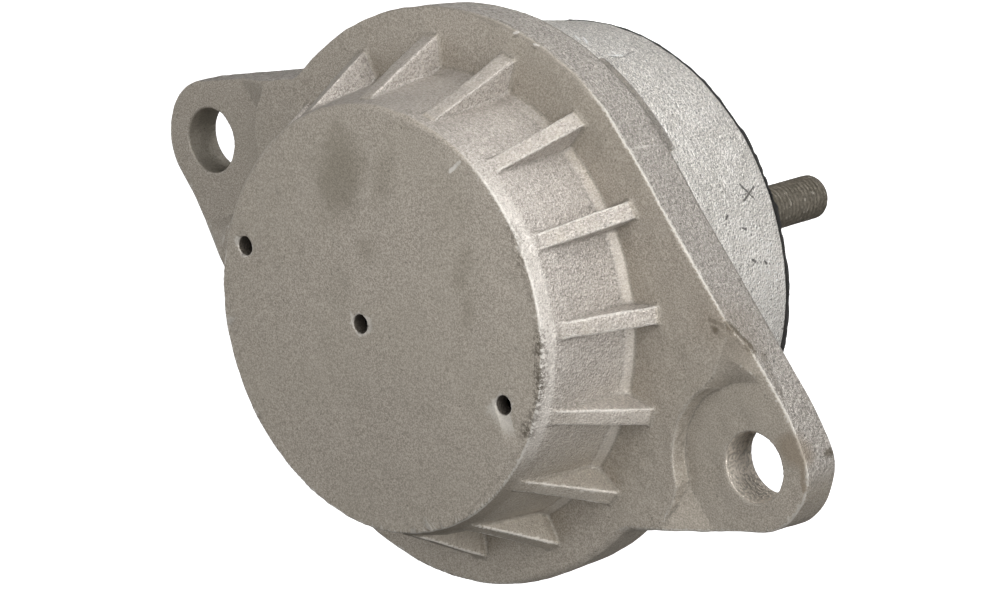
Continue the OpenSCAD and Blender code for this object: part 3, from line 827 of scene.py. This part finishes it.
prof = [(62, 7), (65.5, 7), (66, 6.2), (66, 0), (RIM_R, -RING_H), (ring_in1, -RING_H), (ring_in0, 0), (62, 0)]
prof = resample(rounded(prof, [0.3, 0.2, 0.2, 0.2, 0.7, 0.3, 0.2, 0.2], 4), 0.7)
ring = lathe("ring_shell", prof, 560, ring_wobble)
paint(ring, M_RING)
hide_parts("outer_ring")
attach(ring, "housing_side")

# rubber spring: bonded body, funnel and the ragged lip over the rim
prof = [(0, -8), (0, -6.6), (29, -6.6), (31.5, -8.2), (39, -11.2), (46, -14.4), (53, -17), (ring_in(-18), -18),
        (ring_in1, -RING_H), (59.6, -RING_H), (60.72, -RING_H - 0.1), (60.62, -RING_H - 0.85), (59.2, -RING_H - 1.2), (56, -RING_H - 1.2),
        (53.5, -37.6), (49, -34.8), (43, -31.9), (37, -29.7), (31, -28.3), (25, -27.8), (20, -28.3), (17, -29.4), (15.02, -31.5),
        (15.02, -29), (16.5, -26), (30.5, -12), (30.5, -9.4), (29.1, -8)]
prof[0], prof[1] = (0.01, -8), (0.01, -6.6)
fine = resample(rounded(prof, 0.25, 3), 2.4)
n_lip = 600
r1 = np.random.RandomState(5)


def ragged(n, seed, knots):
    r = np.random.RandomState(seed)
    v = r.uniform(0, 1, knots)
    t = np.linspace(0, knots, n, endpoint=False)
    i = t.astype(int)
    f = smooth(t - i)
    return v[i % knots] * (1 - f) + v[(i + 1) % knots] * f


lip_r = 0.55 * ragged(n_lip, 31, 60) + 0.45 * ragged(n_lip, 32, 240)
lip_s = ragged(n_lip, 35, 260)
lip_z = 0.6 * ragged(n_lip, 33, 90) + 0.4 * ragged(n_lip, 34, 300)


def lip_wobble(th, r, zz):
    lip = (zz < -RING_H - 0.05) & (r > 59.5)
    deep = (zz < -RING_H - 0.5) & (r > 54.5)
    # torn flash: higher and rougher where the mould closed last
    a = np.degrees(th)
    torn = 0.45 + 0.8 * np.exp(-((((a - 44 + 180) % 360) - 180) / 24.0) ** 2)
    hidden = 0.38 * smooth((((a + 180) % 360) - 180 - 50) / 18.0)
    spike = np.clip(lip_s[:, None] - 0.74, 0, 1) * 3.0
    dr = np.where(lip, ((lip_r[:, None] - 0.55) * 0.8 + spike * 0.45) * torn - hidden, 0.0)
    dz = np.where(deep, ((lip_z[:, None] - 0.1) * 0.7 + spike * 0.4) * np.minimum(torn, 1.2), 0.0)
    return dr, dz


rubber = lathe("rubber_body", fine, n_lip, lip_wobble)
paint(rubber, M_RUBBER)
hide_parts("rubber_spring")

# stud: rolled fine thread, worn crests, run-out under the stem
PITCH, ST_R, TIP, STEM_END = 1.5, 6.0, 126.7, 62.0


def build_stud():
    n = 96
    zs = [-34.0, -34.0, -35.0, -61.9]
    rs = [0.01, 5.5, 6.48, 6.48]
    step = 0.12
    zt = np.arange(-62.0, -TIP - 1e-6, -step)
    th = np.arange(n) * 2 * np.pi / n
    Z, T = np.meshgrid(zt, th, indexing="ij")
    phase = (Z / PITCH + T / (2 * np.pi)) % 1.0
    tri = np.abs(phase - 0.5) * 2
    groove = smooth((0.86 - tri) / 0.72)
    depth = 0.09 * smooth((-62.6 - Z) / 2.5) * smooth((Z + TIP + 0.5) / 1.6)
    rr = ST_R - depth * groove - 0.02
    chamfer = ST_R - 2.0 * np.clip((-TIP + 2.4 - Z) / 2.4, 0, 1) ** 2.2
    rr = np.minimum(rr, chamfer)
    w = Waves(2.0, 16, 41)(np.stack([rr * np.cos(T), rr * np.sin(T), Z], -1).reshape(-1, 3)).reshape(rr.shape)
    rr = rr - 0.03 * np.abs(w)
    pts = [np.stack([r * np.cos(th), r * np.sin(th), z + 0 * th], -1) for r, z in zip(rs, zs)]
    grid = np.stack([rr * np.cos(T), rr * np.sin(T), Z], -1)
    pts = np.concatenate([np.array(pts), grid], 0)
    end = [(3.7, -TIP), (0.01, -TIP)]
    pts = np.concatenate([pts, np.array([np.stack([r * np.cos(th), r * np.sin(th), z + 0 * th], -1) for r, z in end])], 0)
    m = len(pts)
    i = np.arange(m - 1)[:, None]
    j = np.arange(n)[None, :]
    a = i * n + j
    b = (i + 1) * n + j
    c = (i + 1) * n + (j + 1) % n
    d = i * n + (j + 1) % n
    quads = np.stack([a, b, c, d], -1).reshape(-1, 4)
    return new_mesh("stud_threaded", pts.reshape(-1, 3), quads)


stud = build_stud()
paint(stud, M_STUD)
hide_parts("stud")
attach(stud, "engine_side")

# core: turned stem with rounded corners
prof = [(0.01, -8), (29.1, -8), (30.5, -9.4), (30.5, -12), (16.5, -26), (15, -29), (15, -STEM_END + 1.2), (13.8, -STEM_END),
        (6.6, -STEM_END), (6.5, -STEM_END + 0.2), (6.5, -34), (0.01, -34)]
core = lathe("core_turned", resample(rounded(prof, [0, 0.3, 0.3, 0.3, 1, 1, 0.3, 0.3, 0, 0, 0, 0], 4), 2.0), 128)
paint(core, M_CORE)
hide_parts("core")
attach(core, "engine_side")

for name, mat in (("upper_channel_plate", M_PLATE), ("lower_channel_plate", M_PLATE), ("decoupler_membrane", M_SOFT), ("bellows", M_SOFT)):
    paint(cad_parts[name], mat)

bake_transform(rubber)

# ---------------------------------------------------------------- floor and light
bpy.ops.mesh.primitive_plane_add(size=8.0, location=(0, 0, -0.30))
floor = bpy.context.object
floor.name = "floor"
fm = Mat("floor_pale")
tone = fm.noise(400.0, 2.0, 0.5)
fm.set(color=fm.mix(fm.ramp(tone, 0.3, 0.7), (0.84, 0.84, 0.84), (0.88, 0.88, 0.88)), metal=0.0, rough=0.9)
fm.b.inputs["Emission Color"].default_value = (1, 1, 1, 1)
fm.b.inputs["Emission Strength"].default_value = 0.9
paint(floor, fm.m)

floor.visible_diffuse = False
floor.visible_glossy = False

# studio: soft patches of light all round, and white where the camera looks past the floor
world = bpy.data.worlds.new("studio")
scene.world = world
world.use_nodes = True
wt = world.node_tree
wt.nodes.clear()
w_out = wt.nodes.new("ShaderNodeOutputWorld")
w_mix = wt.nodes.new("ShaderNodeMixShader")
w_cam = wt.nodes.new("ShaderNodeBackground")
w_dome = wt.nodes.new("ShaderNodeBackground")
w_path = wt.nodes.new("ShaderNodeLightPath")
w_co = wt.nodes.new("ShaderNodeTexCoord")
w_cam.inputs[0].default_value = (1, 1, 1, 1)
w_dome.inputs[0].default_value = (1, 1, 1, 1)


def aim(az, el):
    a, e = math.radians(az), math.radians(el)
    return Vector((math.cos(a) * math.cos(e), math.sin(a) * math.cos(e), math.sin(e)))


total = None
for az, el, gain in ((0, 80, 0.45), (210, 50, 0.85), (270, 50, 0.4), (198, 25, 0.42), (162, 3, 0.38), (198, 3, 0.64), (306, 3, 0.85), (28, -58, 0.42)):
    dot = wt.nodes.new("ShaderNodeVectorMath")
    dot.operation = "DOT_PRODUCT"
    dot.inputs[1].default_value = aim(az, el)
    wt.links.new(w_co.outputs["Generated"], dot.inputs[0])
    patch = wt.nodes.new("ShaderNodeMapRange")
    patch.interpolation_type = "SMOOTHSTEP"
    for i, v in enumerate((math.cos(math.radians(32)), math.cos(math.radians(8)), 0.0, gain)):
        patch.inputs[i + 1].default_value = v
    wt.links.new(dot.outputs["Value"], patch.inputs[0])
    if total is None:
        total = patch.outputs[0]
    else:
        plus = wt.nodes.new("ShaderNodeMath")
        plus.operation = "ADD"
        wt.links.new(total, plus.inputs[0])
        wt.links.new(patch.outputs[0], plus.inputs[1])
        total = plus.outputs[0]
wt.links.new(total, w_dome.inputs[1])
wt.links.new(w_path.outputs["Is Camera Ray"], w_mix.inputs[0])
wt.links.new(w_dome.outputs[0], w_mix.inputs[1])
wt.links.new(w_cam.outputs[0], w_mix.inputs[2])
wt.links.new(w_mix.outputs[0], w_out.inputs[0])


def area(name, direction, dist, size, power, color=(1, 1, 1)):
    d = Vector(direction).normalized()
    li = bpy.data.lights.new(name, "AREA")
    li.shape = "DISK"
    li.size = size
    li.energy = power
    li.color = color
    ob = bpy.data.objects.new(name, li)
    scene.collection.objects.link(ob)
    ob.location = d * dist
    ob.rotation_mode = "QUATERNION"
    ob.rotation_quaternion = d.to_track_quat("Z", "Y")
    ob.visible_camera = False
    return ob


for k, (az, el, dist, power) in enumerate(((80, -8, 0.45, 0.49), (100, -8, 0.45, 0.36), (60, 5, 0.45, 0.06), (80, 5, 0.45, 0.38),
                                           (40, 20, 0.45, 0.06), (60, 20, 0.45, 0.47), (120, 60, 0.45, 0.3),
                                           (0, 5, 0.9, 0.97), (20, 5, 0.9, 2.6), (20, 20, 0.9, 0.99), (40, 20, 0.9, 1.49))):
    area("soft_box_%d" % k, aim(az, el), dist, 0.25 * dist / 0.45, power)
area("top_box", aim(53, 72), 0.26, 0.16, 0.15)
area("rear_box", aim(117, -2), 0.45, 0.2, 0.35)

scene.view_settings.view_transform = "Standard"
scene.view_settings.look = "None"
scene.view_settings.exposure = 0.0
scene.view_settings.gamma = 1.0
